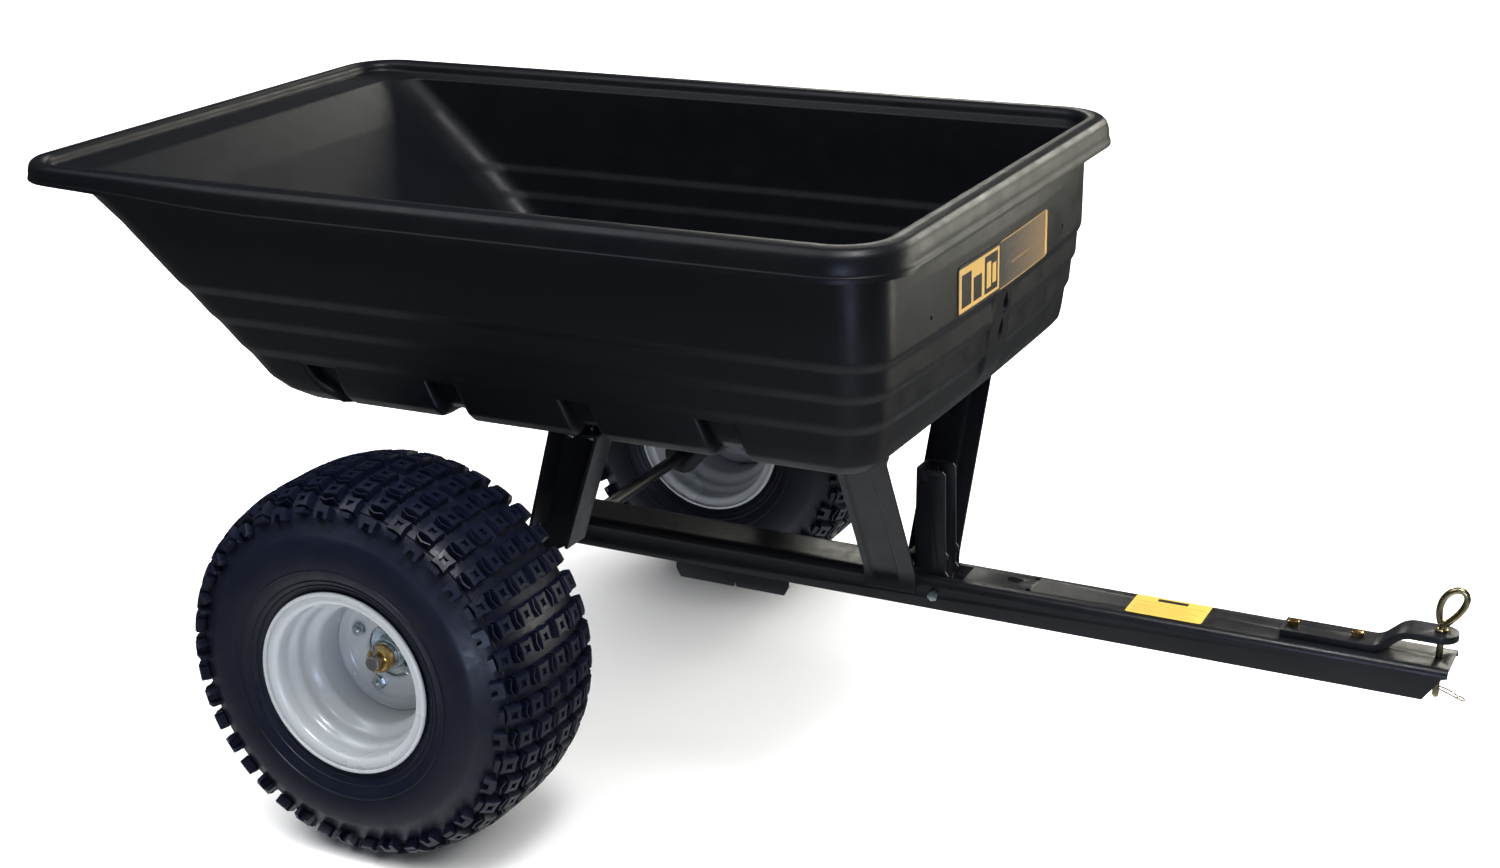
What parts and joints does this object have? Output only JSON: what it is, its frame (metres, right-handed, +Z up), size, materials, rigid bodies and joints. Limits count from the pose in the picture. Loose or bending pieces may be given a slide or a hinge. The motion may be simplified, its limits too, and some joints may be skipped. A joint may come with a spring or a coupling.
{
  "type": "tow-behind dump cart",
  "caption": "Tow-behind dump cart: moulded black poly tub that tips about its axle, on a channel tongue with latch and hitch pin, and knobby tyres on pressed rims.",
  "frame": {"origin": "middle of the cart's box on the ground it stands on; the axle is 0.29247 m behind it", "axes": "+X towards the hitch, +Y to the cart's left, +Z up"},
  "size_m": [1.8376, 1.196, 0.8054],
  "materials": {
    "poly_tub": "satin moulded polyethylene with a fine orange-peel grain",
    "black_steel": "satin black powder coat with a fine texture",
    "tyre_rubber": "matt black rubber, knobby tread",
    "silver_paint": "smooth silver-grey enamel",
    "clear_zinc": "clear zinc plate, faintly blue",
    "yellow_zinc": "yellow chromate zinc plate",
    "bare_steel": "bright machined steel",
    "black_nylon": "black nylon or rubber",
    "label_face": "printed vinyl label with no lettering"
  },
  "bodies": {
    "chassis": {"tongue": "black_steel", "splice_channel": "black_steel", "tongue_label": "label_face", "hitch_strap": "black_steel", "hitch_bolt_1": "yellow_zinc", "hitch_bolt_2": "yellow_zinc", "hitch_nut_1": "yellow_zinc", "hitch_nut_2": "yellow_zinc", "axle": "bare_steel", "latch_bolt": "clear_zinc", "latch_nut": "clear_zinc", "latch_spring": "bare_steel", "axle_collar_left": "yellow_zinc", "axle_washer_left": "clear_zinc", "axle_spacer_left": "black_steel", "cotter_pin_left": "bare_steel", "axle_collar_right": "yellow_zinc", "axle_washer_right": "clear_zinc", "axle_spacer_right": "black_steel", "cotter_pin_right": "bare_steel"},
    "bed": {"tub": "poly_tub", "front_label": "label_face", "latch_saddle": "black_steel", "dump_bracket_left": "black_steel", "front_arm_left": "black_steel", "bracket_bolt_rear_left": "clear_zinc", "bracket_bolt_front_left": "clear_zinc", "arm_bolt_left": "clear_zinc", "dump_bracket_right": "black_steel", "front_arm_right": "black_steel", "bracket_bolt_rear_right": "clear_zinc", "bracket_bolt_front_right": "clear_zinc", "arm_bolt_right": "clear_zinc"},
    "latch_lever": {"latch_lever": "black_steel"},
    "hitch_pin": {"hitch_pin": "yellow_zinc"},
    "hair_clip": {"hair_clip": "yellow_zinc"},
    "wheel_left": {"tyre_left": "tyre_rubber", "rim_left": "silver_paint", "wheel_disc_left": "silver_paint", "valve_stem_left": "black_nylon", "hub_left": "clear_zinc", "hub_bush_outer_left": "black_nylon", "hub_bush_inner_left": "black_nylon", "lug_bolt_1_left": "clear_zinc", "lug_bolt_2_left": "clear_zinc", "lug_bolt_3_left": "clear_zinc", "lug_bolt_4_left": "clear_zinc"},
    "wheel_right": {"tyre_right": "tyre_rubber", "rim_right": "silver_paint", "wheel_disc_right": "silver_paint", "valve_stem_right": "black_nylon", "hub_right": "clear_zinc", "hub_bush_outer_right": "black_nylon", "hub_bush_inner_right": "black_nylon", "lug_bolt_1_right": "clear_zinc", "lug_bolt_2_right": "clear_zinc", "lug_bolt_3_right": "clear_zinc", "lug_bolt_4_right": "clear_zinc"}
  },
  "joints": [
    {"name": "bed_dump", "type": "hinge", "parent": "chassis", "child": "bed", "pos_m": [-0.29247, 0, 0.2444], "axis": [0, -1, 0], "range_deg": [0, 55]},
    {"name": "wheel_left_spin", "type": "hinge", "parent": "chassis", "child": "wheel_left", "pos_m": [-0.29247, 0.483, 0.2444], "axis": [0, 1, 0], "continuous": true},
    {"name": "wheel_right_spin", "type": "hinge", "parent": "chassis", "child": "wheel_right", "pos_m": [-0.29247, -0.483, 0.2444], "axis": [0, 1, 0], "continuous": true},
    {"name": "latch_release", "type": "hinge", "parent": "chassis", "child": "latch_lever", "pos_m": [0.24803, 0, 0.244], "axis": [0, 1, 0], "range_deg": [-8, 25]},
    {"name": "hitch_pin_lift", "type": "slide", "parent": "chassis", "child": "hitch_pin", "axis": [0, 0, 1], "range_m": [0, 0.026]},
    {"name": "hair_clip_pull", "type": "slide", "parent": "hitch_pin", "child": "hair_clip", "axis": [0.9397, 0, -0.342], "range_m": [0, 0.06]}
  ]
}
